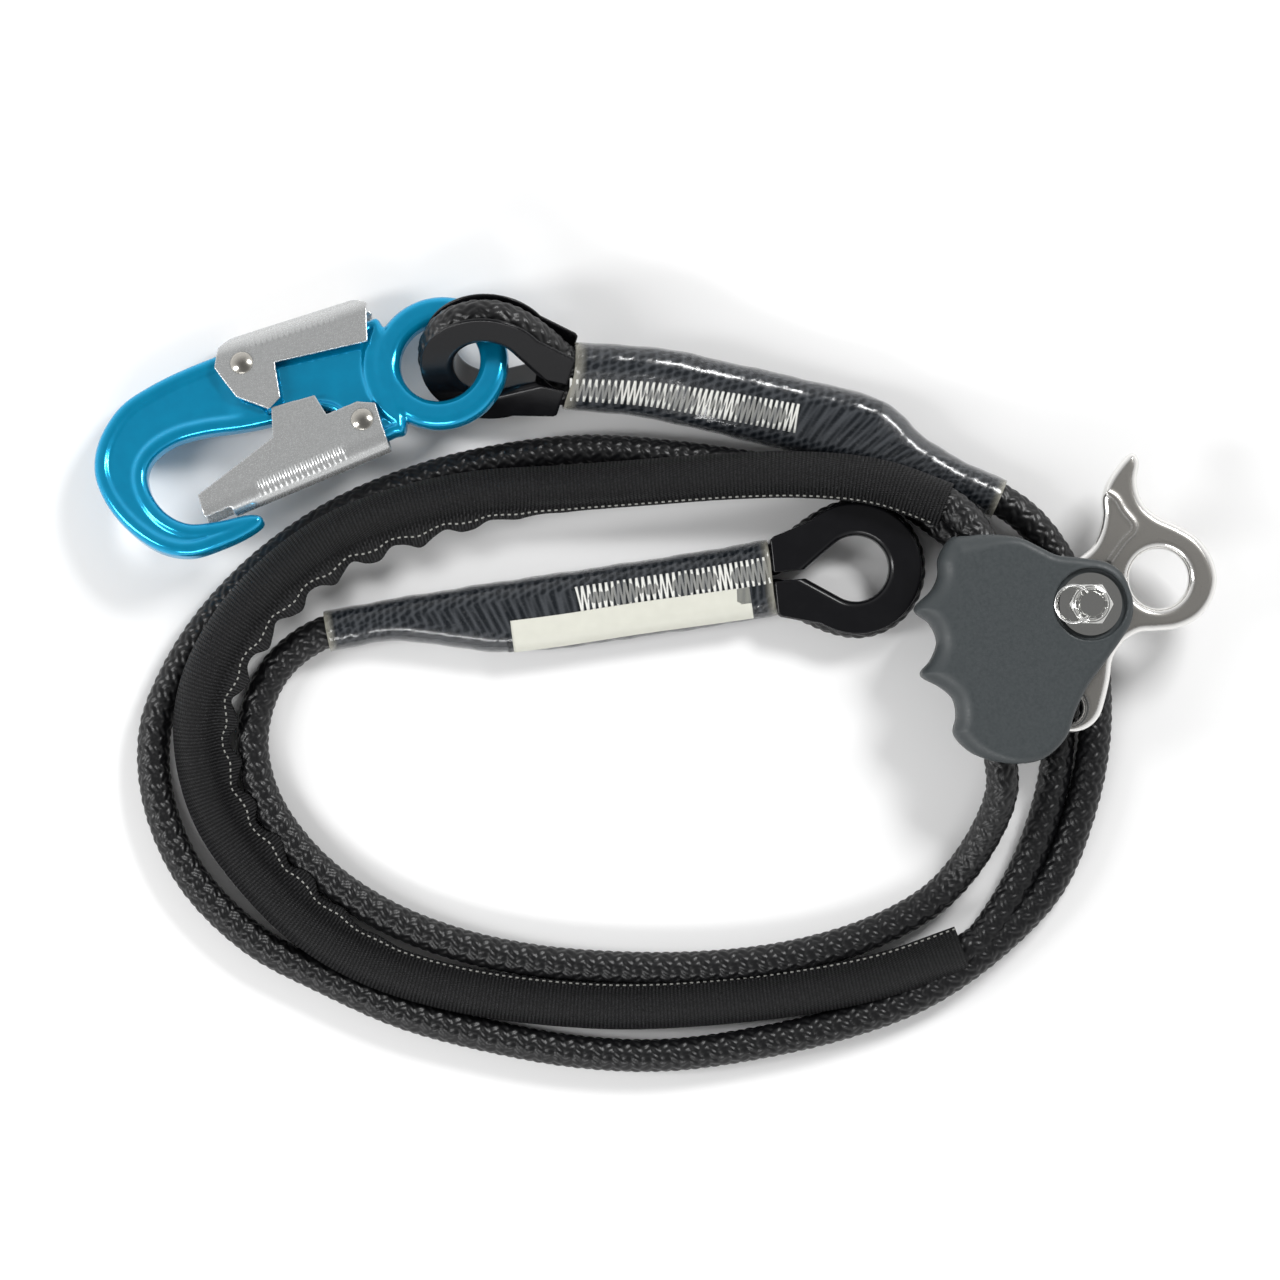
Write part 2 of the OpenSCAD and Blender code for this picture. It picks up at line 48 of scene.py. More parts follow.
ROPE_R = 5.6
CHAFE_R = 7.0
SPLICE_R = 6.7
EYE_HOLE_R, EYE_ROPE_R = 11.0, 18.0
AXLE = np.array([145.0, -27.0, 0.0]) + SEAT
GRAB_Z, GRIP_HALF, SLOT_HALF, CAM_HALF = 26.0, 13.5, 8.4, 5.7
GRIP_TOP = GRAB_Z + GRIP_HALF
NUT_Z = GRIP_TOP - 2.4 + 1.4
HOOK_AT = np.array([-70.7, 53.3, 18.2]) + SEAT
HOOK_YAW, HOOK_PITCH, HOOK_ROLL = 197.5, 2.4, 196.3
HOOK_EYE = (np.array([-55.0, 55.6, 20.1]) + SEAT, 166.9, -7.0, -43.0)
TAIL_EYE = (np.array([68.0, -15.0, 7.6]) + SEAT, 6.0, 0.0, 0.0)
PLATE_GAP, SHEET_T = 4.5, 1.2
LOCK_GAP = PLATE_GAP + SHEET_T + 0.3
GATE_PIVOT, LOCK_PIVOT = (30.0, -12.2), (63.3, 19.0)


def rotation(yaw, pitch, roll):
    """Turns about X by roll, then Y by pitch, then Z by yaw, in degrees."""
    a, b, c = (math.radians(v) for v in (roll, pitch, yaw))
    rx = np.array([[1, 0, 0], [0, math.cos(a), -math.sin(a)], [0, math.sin(a), math.cos(a)]])
    ry = np.array([[math.cos(b), 0, math.sin(b)], [0, 1, 0], [-math.sin(b), 0, math.cos(b)]])
    rz = np.array([[math.cos(c), -math.sin(c), 0], [math.sin(c), math.cos(c), 0], [0, 0, 1]])
    return rz @ ry @ rx


def placed(points, at, yaw=0.0, pitch=0.0, roll=0.0):
    return np.asarray(points, float) @ rotation(yaw, pitch, roll).T + at


def on_hook(points):
    return placed(points, HOOK_AT, HOOK_YAW, HOOK_PITCH, HOOK_ROLL)


# ---- The camera, above the middle of the loops ----

CAMERA_TARGET = np.array([-4.6, -37.2, 6.0])
CAMERA_HEIGHT = 2600.0
VIEW_WIDTH = 429.0


def add_camera():
    data = bpy.data.cameras.new("camera")
    data.sensor_width = 36
    data.lens = 36 * CAMERA_HEIGHT / VIEW_WIDTH
    camera = bpy.data.objects.new("camera", data)
    camera.location = (CAMERA_TARGET + UP * CAMERA_HEIGHT) * MM
    bpy.context.scene.collection.objects.link(camera)
    bpy.context.scene.camera = camera


add_camera()

# ---- Mesh helpers ----


def add_mesh(name, points, faces, material=None, uvs=None, smooth=True):
    """A mesh object from points in millimetres and quads, with one UV pair per face corner if given."""
    faces = np.asarray(faces, np.int32)
    sides = faces.shape[1]
    mesh = bpy.data.meshes.new(name)
    mesh.vertices.add(len(points))
    mesh.vertices.foreach_set("co", (np.asarray(points, float) * MM).astype(np.float32).ravel())
    mesh.loops.add(faces.size)
    mesh.loops.foreach_set("vertex_index", faces.ravel())
    mesh.polygons.add(len(faces))
    mesh.polygons.foreach_set("loop_start", np.arange(0, faces.size, sides, dtype=np.int32))
    mesh.polygons.foreach_set("loop_total", np.full(len(faces), sides, np.int32))
    mesh.update(calc_edges=True)
    mesh.validate()
    if uvs is not None:
        layer = mesh.uv_layers.new(name="route")
        layer.data.foreach_set("uv", np.asarray(uvs, np.float32).ravel())
    if smooth:
        mesh.polygons.foreach_set("use_smooth", np.ones(len(mesh.polygons), bool))
    piece = bpy.data.objects.new(name, mesh)
    bpy.context.scene.collection.objects.link(piece)
    if material:
        mesh.materials.append(material)
    return piece


def grid(rows, cols, closed, across=None, along=None):
    """Quads and corner UVs of a rows x cols grid of points, closed round the columns or not."""
    i, k = np.meshgrid(np.arange(rows - 1), np.arange(cols if closed else cols - 1), indexing="ij")
    i, k = i.ravel(), k.ravel()
    j = (k + 1) % cols
    faces = np.stack([i * cols + k, i * cols + j, (i + 1) * cols + j, (i + 1) * cols + k], 1)
    across = np.linspace(0, 1, cols + 1 if closed else cols) if across is None else np.asarray(across)
    along = np.linspace(0, 1, rows) if along is None else np.asarray(along)
    u = np.stack([along[i], along[i], along[i + 1], along[i + 1]], 1)
    v = np.stack([across[k], across[k + 1], across[k + 1], across[k]], 1)
    return faces, np.stack([u, v], 2)


def joined(parts):
    """Joins (points, faces) pairs into one."""
    points, faces, start = [], [], 0
    for p, f in parts:
        points.append(p)
        faces.append(np.asarray(f) + start)
        start += len(p)
    return np.concatenate(points), np.concatenate(faces)


def distances(line):
    """How far along the line each of its points is."""
    return np.concatenate([[0], np.cumsum(np.linalg.norm(np.diff(line, axis=0), axis=1))])


def curve_through(points, step, closed=False):
    """A Catmull-Rom curve through the points, as points about step apart, evenly spaced."""
    p = np.asarray(points, float)
    if closed:
        p = np.vstack([p[-1:], p, p[:2]])
    else:
        p = np.vstack([2 * p[:1] - p[1:2], p, 2 * p[-1:] - p[-2:-1]])
    t = np.linspace(0, 1, 24, endpoint=False)[:, None]
    out = []
    for a, b, c, d in zip(p, p[1:], p[2:], p[3:]):
        out.append(0.5 * (2 * b + (c - a) * t + (2 * a - 5 * b + 4 * c - d) * t**2
                          + (3 * b - a - 3 * c + d) * t**3))
    line = np.vstack(out + [p[-2][None]])
    gone = distances(line)
    at = np.linspace(0, gone[-1], max(2, int(round(gone[-1] / step)) + 1))
    return np.stack([np.interp(at, gone, line[:, c]) for c in range(line.shape[1])], 1)


def relaxed(line, passes):
    """The line with its small wiggles smoothed away, and its ends kept."""
    line = line.copy()
    for _ in range(passes):
        line[1:-1] = 0.25 * line[:-2] + 0.5 * line[1:-1] + 0.25 * line[2:]
    return line


def length_of(line):
    return float(np.linalg.norm(np.diff(line, axis=0), axis=1).sum())


def unit(v):
    return v / np.linalg.norm(v, axis=-1, keepdims=True)


def frames(line):
    """Each point's direction, and the unit vectors to its left and upward."""
    t = unit(np.gradient(line, axis=0))
    side = unit(np.cross(UP, t))
    return t, side, np.cross(t, side)


def swept(line, n, radius):
    """Points of a tube round the line. radius is a number, or an array of rings x n."""
    _, side, up = frames(line)
    a = np.arange(n) * 2 * math.pi / n
    r = np.broadcast_to(radius, (len(line), n))[..., None]
    ring = np.cos(a)[None, :, None] * side[:, None] + np.sin(a)[None, :, None] * up[:, None]
    return (line[:, None] + r * ring).reshape(-1, 3)


def capped(points, faces, rows, cols):
    """Adds a fan of quads to each end of a tube, round a middle point."""
    ends = []
    middle = np.stack([points[:cols].mean(0), points[-cols:].mean(0)])
    start, last = len(points), (rows - 1) * cols
    for k in range(0, cols - 1, 2):
        k2, k3 = (k + 1) % cols, (k + 2) % cols
        ends.append([start, k3, k2, k])
        ends.append([start + 1, last + k, last + k2, last + k3])
    return np.vstack([points, middle]), np.vstack([faces, np.array(ends)])


def thread(line, radius, n=6):
    """Points and faces of a plain closed tube, for wire and thread."""
    faces, _ = grid(len(line), n, True)
    return capped(swept(line, n, radius), faces, len(line), n)


# ---- Solid shapes from a distance field ----


def outline_field(x, y, outline):
    """Signed distance to a closed outline, negative inside."""
    a = np.asarray(outline, float)
    b = np.roll(a, -1, 0)
    best = np.full(x.shape, 1e9)
    inside = np.zeros(x.shape, bool)
    for (ax, ay), (bx, by) in zip(a, b):
        ex, ey = bx - ax, by - ay
        t = np.clip(((x - ax) * ex + (y - ay) * ey) / (ex * ex + ey * ey + 1e-12), 0, 1)
        best = np.minimum(best, np.hypot(x - ax - t * ex, y - ay - t * ey))
        if ay != by:
            crosses = ((ay > y) != (by > y)) & (x < ax + (y - ay) / (by - ay) * ex)
            inside ^= crosses
    return np.where(inside, -best, best)


def rounded_slab(flat, z, half, edge):
    """A slab of the outline whose distance is flat, with its edges rounded by edge."""
    a = flat + edge
    b = np.abs(z) - half + edge
    return np.minimum(np.maximum(a, b), 0) + np.hypot(np.maximum(a, 0), np.maximum(b, 0)) - edge


def blended(a, b, k):
    """The union of two fields, with a fillet of about k."""
    h = np.clip(0.5 + 0.5 * (b - a) / k, 0, 1)
    return b * (1 - h) + a * h - k * h * (1 - h)


def step_up(x, low, high):
    t = np.clip((x - low) / (high - low), 0, 1)
    return t * t * (3 - 2 * t)


def axes(low, high, step):
    return [np.arange(a, b + step, step) for a, b in zip(low, high)]


def net(field, grid_axes):
    """A closed mesh round the negative part of a field: one point a cell, one quad an edge."""
    f = field
    shape = tuple(s - 1 for s in f.shape)
    total = np.zeros(shape + (3,))
    count = np.zeros(shape)
    crossings = []
    for axis in range(3):
        g = np.moveaxis(f, [axis, (axis + 1) % 3, (axis + 2) % 3], [0, 1, 2])
        f0, f1 = g[:-1], g[1:]
        hit = (f0 < 0) != (f1 < 0)
        t = np.where(hit, f0 / np.where(hit, f0 - f1, 1), 0)
        i, j, k = np.nonzero(hit[:, 1:-1, 1:-1])
        j, k = j + 1, k + 1
        crossings.append((axis, i, j, k, f0[i, j, k] < 0))
        at = np.stack([i + t[i, j, k], j.astype(float), k.astype(float)], 1)
        back = [0, 0, 0]
        for place, source in enumerate([axis, (axis + 1) % 3, (axis + 2) % 3]):
            back[source] = place
        at = at[:, back]
        for dj in (-1, 0):
            for dk in (-1, 0):
                cell = np.stack([i, j + dj, k + dk], 1)[:, back]
                np.add.at(total, tuple(cell.T), at)
                np.add.at(count, tuple(cell.T), 1)
    used = count > 0
    number = np.full(shape, -1)
    number[used] = np.arange(used.sum())
    points = total[used] / count[used][:, None]
    faces = []
    for axis, i, j, k, out in crossings:
        back = [0, 0, 0]
        for place, source in enumerate([axis, (axis + 1) % 3, (axis + 2) % 3]):
            back[source] = place
        corners = []
        for dj, dk in ((-1, -1), (0, -1), (0, 0), (-1, 0)):
            cell = np.stack([i, j + dj, k + dk], 1)[:, back]
            corners.append(number[tuple(cell.T)])
        quad = np.stack(corners, 1)
        quad[~out] = quad[~out][:, ::-1]
        faces.append(quad)
    scale = np.array([a[1] - a[0] for a in grid_axes])
    origin = np.array([a[0] for a in grid_axes])
    return points * scale + origin, np.concatenate(faces)


# ---- Materials ----


class Finish:
    """A node material: add nodes, link them, and set the shader's sockets."""

    def __init__(self, name):
        self.material = bpy.data.materials.new(name)
        self.material.use_nodes = True
        self.nodes = self.material.node_tree.nodes
        self.links = self.material.node_tree.links
        self.shader = self.nodes["Principled BSDF"]

    def node(self, kind, settings=(), **inputs):
        n = self.nodes.new(kind)
        for key, value in dict(settings).items():
            setattr(n, key, value)
        for key, value in inputs.items():
            self.feed(n.inputs[int(key[1:])] if key[0] == "i" and key[1:].isdigit()
                      else n.inputs[key.replace("_", " ")], value)
        return n

    def feed(self, socket, value):
        if isinstance(value, bpy.types.NodeSocket):
            self.links.new(value, socket)
        else:
            socket.default_value = value

    def set(self, **values):
        for key, value in values.items():
            self.feed(self.shader.inputs[key.replace("_", " ")], value)
        return self

    def math(self, operation, a, b=0.0, clamp=False):
        return self.node("ShaderNodeMath", {"operation": operation, "use_clamp": clamp}, i0=a, i1=b).outputs[0]

    def mix(self, amount, a, b):
        n = self.node("ShaderNodeMix", {"data_type": "RGBA"})
        self.feed(n.inputs[0], amount)
        self.feed(n.inputs[6], a)
        self.feed(n.inputs[7], b)
        return n.outputs[2]

    def noise(self, scale, detail=3.0, stretch=(1, 1, 1), coords="Object"):
        place = self.node("ShaderNodeTexCoord").outputs[coords]
        mapped = self.node("ShaderNodeMapping", Vector=place, Scale=stretch).outputs[0]
        return self.node("ShaderNodeTexNoise", Vector=mapped, Scale=scale, Detail=detail).outputs["Fac"]

    def spread(self, value, low, high, out_low=0.0, out_high=1.0):
        n = self.node("ShaderNodeMapRange", i0=value, i1=low, i2=high, i3=out_low, i4=out_high)
        return n.outputs[0]

    def bump(self, height, strength, distance=0.0003):
        n = self.node("ShaderNodeBump", Strength=strength, Distance=distance, Height=height)
        self.feed(self.shader.inputs["Normal"], n.outputs[0])
        return self

    def route(self):
        """The UV's two parts: along the piece and across it."""
        uv = self.node("ShaderNodeUVMap", {"uv_map": "route"}).outputs[0]
        parts = self.node("ShaderNodeSeparateXYZ", Vector=uv)
        return parts.outputs[0], parts.outputs[1]


def grey(v):
    return (v, v, v, 1.0)


def plain(name, colour, rough, metal=0.0, vary=0.12, scale=900.0, bump=0.08, shine=0.5):
    """One colour with a fine, uneven roughness and a fine grain."""
    f = Finish(name)
    n = f.noise(scale)
    dark = tuple(c * (1 - vary) for c in colour[:3]) + (1.0,)
    light = tuple(min(1, c * (1 + vary)) for c in colour[:3]) + (1.0,)
    f.set(Base_Color=f.mix(n, dark, light), Metallic=metal, Specular_IOR_Level=shine,
          Roughness=f.spread(n, 0.3, 0.7, rough * 0.85, rough * 1.15))
    return f.bump(n, bump, 0.0002).material


def brushed(name, colour, rough, stretch, scale=500.0, edge=None, metal=1.0):
    """Metal with fine lines. edge is the colour and roughness of rounded edges: the colour is a painted highlight,
    and the roughness there is lower.
    """
    f = Finish(name)
    n = f.noise(scale, 4, stretch)
    darker = tuple(c * 0.86 for c in colour[:3]) + (1.0,)
    paler = tuple(min(1, c * 1.12) for c in colour[:3]) + (1.0,)
    base = f.mix(n, darker, paler)
    roughness = f.spread(n, 0.3, 0.7, rough * 0.8, rough * 1.2)
    # Where the normal turns away from upright, the edge colour is mixed in: a painted highlight on rounded edges.
    if edge:
        flat = f.node("ShaderNodeSeparateXYZ", Vector=f.node("ShaderNodeTexCoord").outputs["Normal"]).outputs[2]
        edge_highlight_mask = f.spread(f.math("ABSOLUTE", flat), 0.985, 0.93)
        base = f.mix(edge_highlight_mask, base, edge[0])
        roughness = f.math("ADD", roughness, f.math("MULTIPLY", edge_highlight_mask, edge[1] - rough))
    f.set(Base_Color=base, Roughness=roughness, Metallic=metal)
    return f.bump(n, 0.025, 0.0001).material


def rope_finish():
    """Black braid with a fine fibre grain. The plaits themselves are in the mesh."""
    f = Finish("braided_rope")
    n = f.noise(5200, 2)
    f.set(Base_Color=f.mix(n, (0.002, 0.002, 0.0024, 1), (0.006, 0.0062, 0.007, 1)),
          Roughness=0.34, Specular_IOR_Level=0.42)
    return f.bump(n, 0.25, 0.00012).material


def webbing_finish():
    """Black ribbed webbing, with a painted highlight on the rib tops and painted shade between them. along is in
    ribs, and across is 0 to 1 across the folded webbing.
    """
    f = Finish("webbing")
    along, across = f.route()
    n = f.noise(1500, 4)
    rib = f.math("POWER", f.math("ABSOLUTE", f.math("SINE", f.math("MULTIPLY", along, math.pi))), 0.7)
    weave = f.math("SINE", f.math("ADD", f.math("MULTIPLY", across, 330.0), f.math("MULTIPLY", along, math.pi)))
    height = f.math("ADD", rib, f.math("ADD", f.math("MULTIPLY", weave, 0.22), f.math("MULTIPLY", n, 0.5)))
    # The colour runs from near black between the ribs to lighter on their tops, as painted shade and a painted
    # highlight, with random tone from the noise.
    f.set(Base_Color=f.mix(f.math("MULTIPLY", rib, f.spread(n, 0.25, 0.75)), (0.0008, 0.0008, 0.001, 1),
                           (0.022, 0.022, 0.024, 1)),
          Roughness=0.5, Specular_IOR_Level=0.3)
    return f.bump(height, 1.0, 0.0009).material


def sleeve_finish():
    """Smoky clear heat-shrink, milky near its two ends, pressed over the braid in a fine honeycomb."""
    f = Finish("clear_sleeve")
    along, across = f.route()
    end = f.math("MINIMUM", along, f.math("SUBTRACT", 1.0, along))
    milk = f.spread(end, 0.022, 0.0, 0.0, 1.0)
    row = f.math("MULTIPLY", along, 62.0)
    cell = f.node("ShaderNodeCombineXYZ", X=row, Y=f.math("ADD", f.math("MULTIPLY", across, 18.0),
                                                           f.math("MULTIPLY", row, 0.5))).outputs[0]
    cells = f.node("ShaderNodeTexVoronoi", Vector=cell, Scale=1.0, Randomness=0.3)
    n = f.noise(120, 3)
    lattice = f.spread(cells.outputs["Distance"], 0.28, 0.62)
    tint = f.mix(lattice, (0.010, 0.014, 0.019, 1), (0.075, 0.082, 0.092, 1))
    f.set(Base_Color=f.mix(milk, tint, (0.33, 0.32, 0.27, 1)),
          Alpha=f.math("ADD", f.math("ADD", 0.42, f.math("MULTIPLY", lattice, 0.14)), f.math("MULTIPLY", milk, 0.3)),
          Roughness=f.spread(n, 0.3, 0.7, 0.12, 0.26), Specular_IOR_Level=0.75, Coat_Weight=0.6, Coat_Roughness=0.08)
    height = f.math("ADD", cells.outputs["Distance"], f.math("MULTIPLY", n, 0.8))
    return f.bump(height, 0.32, 0.0005).material


BLACK_ROPE = rope_finish()
WEBBING = webbing_finish()
SLEEVE = sleeve_finish()
PALE_THREAD = plain("pale_thread", (0.3, 0.3, 0.28), 0.7, bump=0.4, scale=3000)
WHITE_THREAD = plain("white_thread", (0.74, 0.74, 0.7), 0.6, bump=0.4, scale=3000)
LABEL = plain("label_stock", (0.62, 0.62, 0.55), 0.45, vary=0.05, scale=300)
THIMBLE = plain("thimble_plastic", (0.005, 0.005, 0.006), 0.22, scale=240, bump=0.03, shine=0.3)
SLATE = plain("slate_grip", (0.036, 0.043, 0.046), 0.5, vary=0.1, scale=1100, bump=0.1)
CHANNEL_STEEL = brushed("channel_steel", (0.5, 0.5, 0.49, 1), 0.32, (1, 8, 1))
ZINC = brushed("zinc_steel", (0.7, 0.7, 0.68, 1), 0.14, (1, 1, 1), 4000)
WIRE = brushed("wire_steel", (0.66, 0.66, 0.65, 1), 0.2, (1, 1, 1), 900)
# The cam's pale edge colour is a painted highlight on its rounded rims.
CAM_STEEL = brushed("cam_steel", (0.4, 0.385, 0.36, 1), 0.34, (1, 1, 1), 3000,
                    edge=((0.85, 0.84, 0.82, 1), 0.13), metal=0.92)
BRONZE = brushed("bush_bronze", (0.5, 0.32, 0.16, 1), 0.34, (1, 1, 5))
SPRING = brushed("spring_wire", (0.55, 0.55, 0.55, 1), 0.25, (1, 1, 1), 900)
GATE_STEEL = brushed("gate_steel", (0.56, 0.57, 0.57, 1), 0.26, (1, 1, 1), 1500, metal=0.7)
RIVET = brushed("rivet_steel", (0.5, 0.48, 0.44, 1), 0.2, (1, 1, 1), 2600)


def blue_finish():
    f = Finish("blue_aluminium")
    n = f.noise(260, 3)
    f.set(Base_Color=f.mix(n, (0.0, 0.3, 0.56, 1), (0.0, 0.36, 0.64, 1)), Metallic=0.62,
          Roughness=f.spread(n, 0.3, 0.7, 0.13, 0.2), Coat_Weight=0.35, Coat_Roughness=0.06)
    return f.bump(n, 0.05, 0.0003).material


BLUE = blue_finish()

# ---- The rope's route, as in the CAD ----


def seated(points):
    return np.asarray(points, float) + SEAT


HOOK_TAIL = seated([[76, 35.5, 9], [51, 41.5, 9], [26, 47, 11.5], [1, 52.4, 17.4]])
HOOK_STANDING = seated([
    [-1, 42.4, 9.8], [23, 36.8, 7.4], [46, 31.2, 7], [66, 26, 8.5], [82, 21.4, 9.2], [100, 15.2, 9.2],
    [116, 8.2, 9.2]])
OUTER_LOOP = seated([
    [127, 0, 8.5], [136, -12, 6.2], [144, -28, 5.8], [148, -50, 5.6], [148, -73, 5.6], [143, -97, 5.6],
    [133, -121, 5.6], [114, -141, 5.6], [91, -157, 5.6], [65, -167, 5.6], [35, -174, 5.6], [5, -178, 5.6],
    [-24, -177, 5.6], [-53, -172, 5.6], [-83, -164, 5.6], [-110, -152, 5.6], [-134, -139, 5.6], [-154, -119, 5.6],
    [-165, -95, 5.6], [-167, -71, 5.6], [-160, -51, 5.6], [-147, -31, 5.6], [-128, -12, 5.6], [-104, 4, 5.6],
    [-77, 15, 5.6], [-50, 21.5, 5.6], [-22, 24.5, 5.6], [8, 22.5, 5.6], [36, 18.6, 5.6], [60, 15.4, 5.6],
    [78, 12.6, 5.6], [92, 3.6, 5.6], [108, -9, 5.6], [122, -23, 5.6], [132, -42, 5.6], [136, -64, 5.6],
    [134, -88, 5.6], [126, -113, 5.6], [114, -134, 6.2]])
COVERED = seated([
    [104, -143, 7], [78, -152, 7.2], [50, -157.5, 7.2], [20, -161, 7.2], [-10, -162.4, 7.2], [-40, -160.5, 7.2],
    [-68, -156, 7.4], [-94, -148, 8], [-116, -135, 9.4], [-134, -117, 9.4], [-147, -98, 9.4], [-153, -77, 10.5],
    [-152, -57, 14.5], [-143, -37, 16.8], [-128, -19, 17.2], [-108, -4, 16.8], [-84, 5.4, 16.6], [-58, 10.8, 15.6],
    [-30, 12.6, 13.4], [-2, 14.6, 15.6], [26, 16.6, 18], [52, 17, 19.4], [76, 14.4, 20.4], [98, 6.6, 22]])
INNER_LOOP = seated([
    [107.9, -3.4, 25.3], [109.6, -13, 26], [112.4, -44, 26], [115.4, -76, 26], [116.4, -88, 23.5],
    [112.5, -101, 15.5], [103.5, -116, 7.6], [91, -128, 5.6], [70, -138.5, 5.6], [44, -145.5, 5.6],
    [16, -148.6, 5.6], [-14, -148.6, 5.6], [-42, -146, 5.6], [-68, -140, 5.6], [-92, -130, 5.6],
    [-113, -115, 5.6], [-128, -96, 5.6], [-134, -77, 5.6], [-132, -60, 5.6], [-124, -46, 5.8], [-109, -36, 6.6]])
TAIL_STANDING = seated([[-86, -31.6, 7], [-60, -27.4, 7], [-34, -23.6, 7], [-8, -19.8, 7], [18, -15.8, 7]])
TAIL_TAIL = seated([[17.5, -28, 7], [-7, -31.4, 7], [-30, -35, 7], [-49, -37.6, 7]])


def eye_route(eye):
    """The rope round a thimble, from the leg at +Y to the leg at -Y of the eye's own frame."""
    arc = [(EYE_ROPE_R * math.cos(math.radians(a)), EYE_ROPE_R * math.sin(math.radians(a)), 0)
           for a in range(120, -121, -30)]
    at, yaw, pitch, roll = eye
    return placed([(-28, 6, 0), (-18, 10.6, 0)] + arc + [(-18, -10.6, 0), (-28, -6, 0)], at, yaw, pitch, roll)


HOOK_TURN, TAIL_TURN = eye_route(HOOK_EYE), eye_route(TAIL_EYE)
ROUTE = np.vstack([HOOK_TAIL, HOOK_TURN[::-1], HOOK_STANDING, OUTER_LOOP, COVERED, INNER_LOOP,
                   TAIL_STANDING, TAIL_TURN, TAIL_TAIL])
HOOK_RIGHT = np.vstack([HOOK_TURN[:1], HOOK_STANDING])
HOOK_LEFT = np.vstack([HOOK_TURN[-1:], HOOK_TAIL[::-1], seated([[86, 24, 9]]), HOOK_STANDING[5:7]])
TAIL_LEFT = np.vstack([INNER_LOOP[-1:], TAIL_STANDING, TAIL_TURN[:1]])
TAIL_RIGHT = np.vstack([TAIL_LEFT[:2], seated([[-54, -36.6, 7]]), TAIL_TAIL[2::-1], TAIL_TURN[-1:]])

# ---- Rope ----


def braided(line, radius, plaits=20, depth=0.75, around=80):
    """A rope's surface: two sets of plaits that cross over and under each other round the line."""
    gone = distances(line)
    pitch = 2 * math.pi * radius / plaits * 0.92
    s = gone[:, None] / pitch
    a = np.arange(around)[None] / around * plaits
    right, left = (s + a) / 2, (s - a) / 2
    turn = (np.floor(right) + np.floor(left)) % 4
    u, v = right % 1, left % 1
    over = turn < 2
    width = np.where(over, u, v) - 0.5
    run = (np.where(over, v, u) + turn % 2) / 2
    plait = np.sqrt(np.clip(1 - (1.94 * width) ** 2, 0, 1)) * (0.5 + 0.5 * np.sin(math.pi * run))
    height = radius - depth + depth * plait
    points = swept(line, around, height)
    faces, uvs = grid(len(line), around, True, np.linspace(0, plaits, around + 1), gone / pitch)
    return points, faces, uvs


def build_rope():
    line = relaxed(curve_through(ROUTE, 0.55), 20)
    points, faces, uvs = braided(line, ROPE_R)
    blank = np.zeros((2 * 40, 4, 2))
    points, faces = capped(points, faces, len(line), 80)
    rope = add_mesh("rope_braid", points, faces, BLACK_ROPE, np.concatenate([uvs, blank[:len(faces) - len(uvs)]]))
    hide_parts("rope")
    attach(rope, "lanyard")
    return rope, line


# ---- Webbing, folded round the rope, with a sewn seam flap at the inner edge ----


def resampled(line, count):
    gone = distances(line)
    at = np.linspace(0, gone[-1], count)
    return np.stack([np.interp(at, gone, line[:, c]) for c in range(3)], 1)


def flap_at(share, gone):
    """How far the seam flap stands out from the webbing's round part, and its ruffle."""
    side = step_up(share, 0.30, 0.42) * (1 - step_up(share, 0.68, 0.80))
    ruffle = side * 0.9 * math.sin(gone * 2 * math.pi / 18.0) + side * 0.1 * math.sin(gone * 2 * math.pi / 7.3)
    return 1.6 + 4.6 * side, ruffle, side


def webbing_section(flap, n=40):
    """Points across the route: round the rope, then pinched to a flap on its right side."""
    out = []
    r = CHAFE_R
    neck = 1.15
    for k in range(n):
        a = math.radians(30 + 300 * k / (n - 1))
        out.append((r * math.cos(math.pi + a), r * math.sin(math.pi + a)))
    tip = -r - flap
    bottom = [(-r - 0.2 * flap, -neck), (tip + 0.4, -neck * 0.8), (tip, -0.45)]
    top = [(tip, 0.45), (tip + 0.4, neck * 0.8), (-r - 0.2 * flap, neck)]
    return np.array(out + top[::-1] + bottom[::-1])


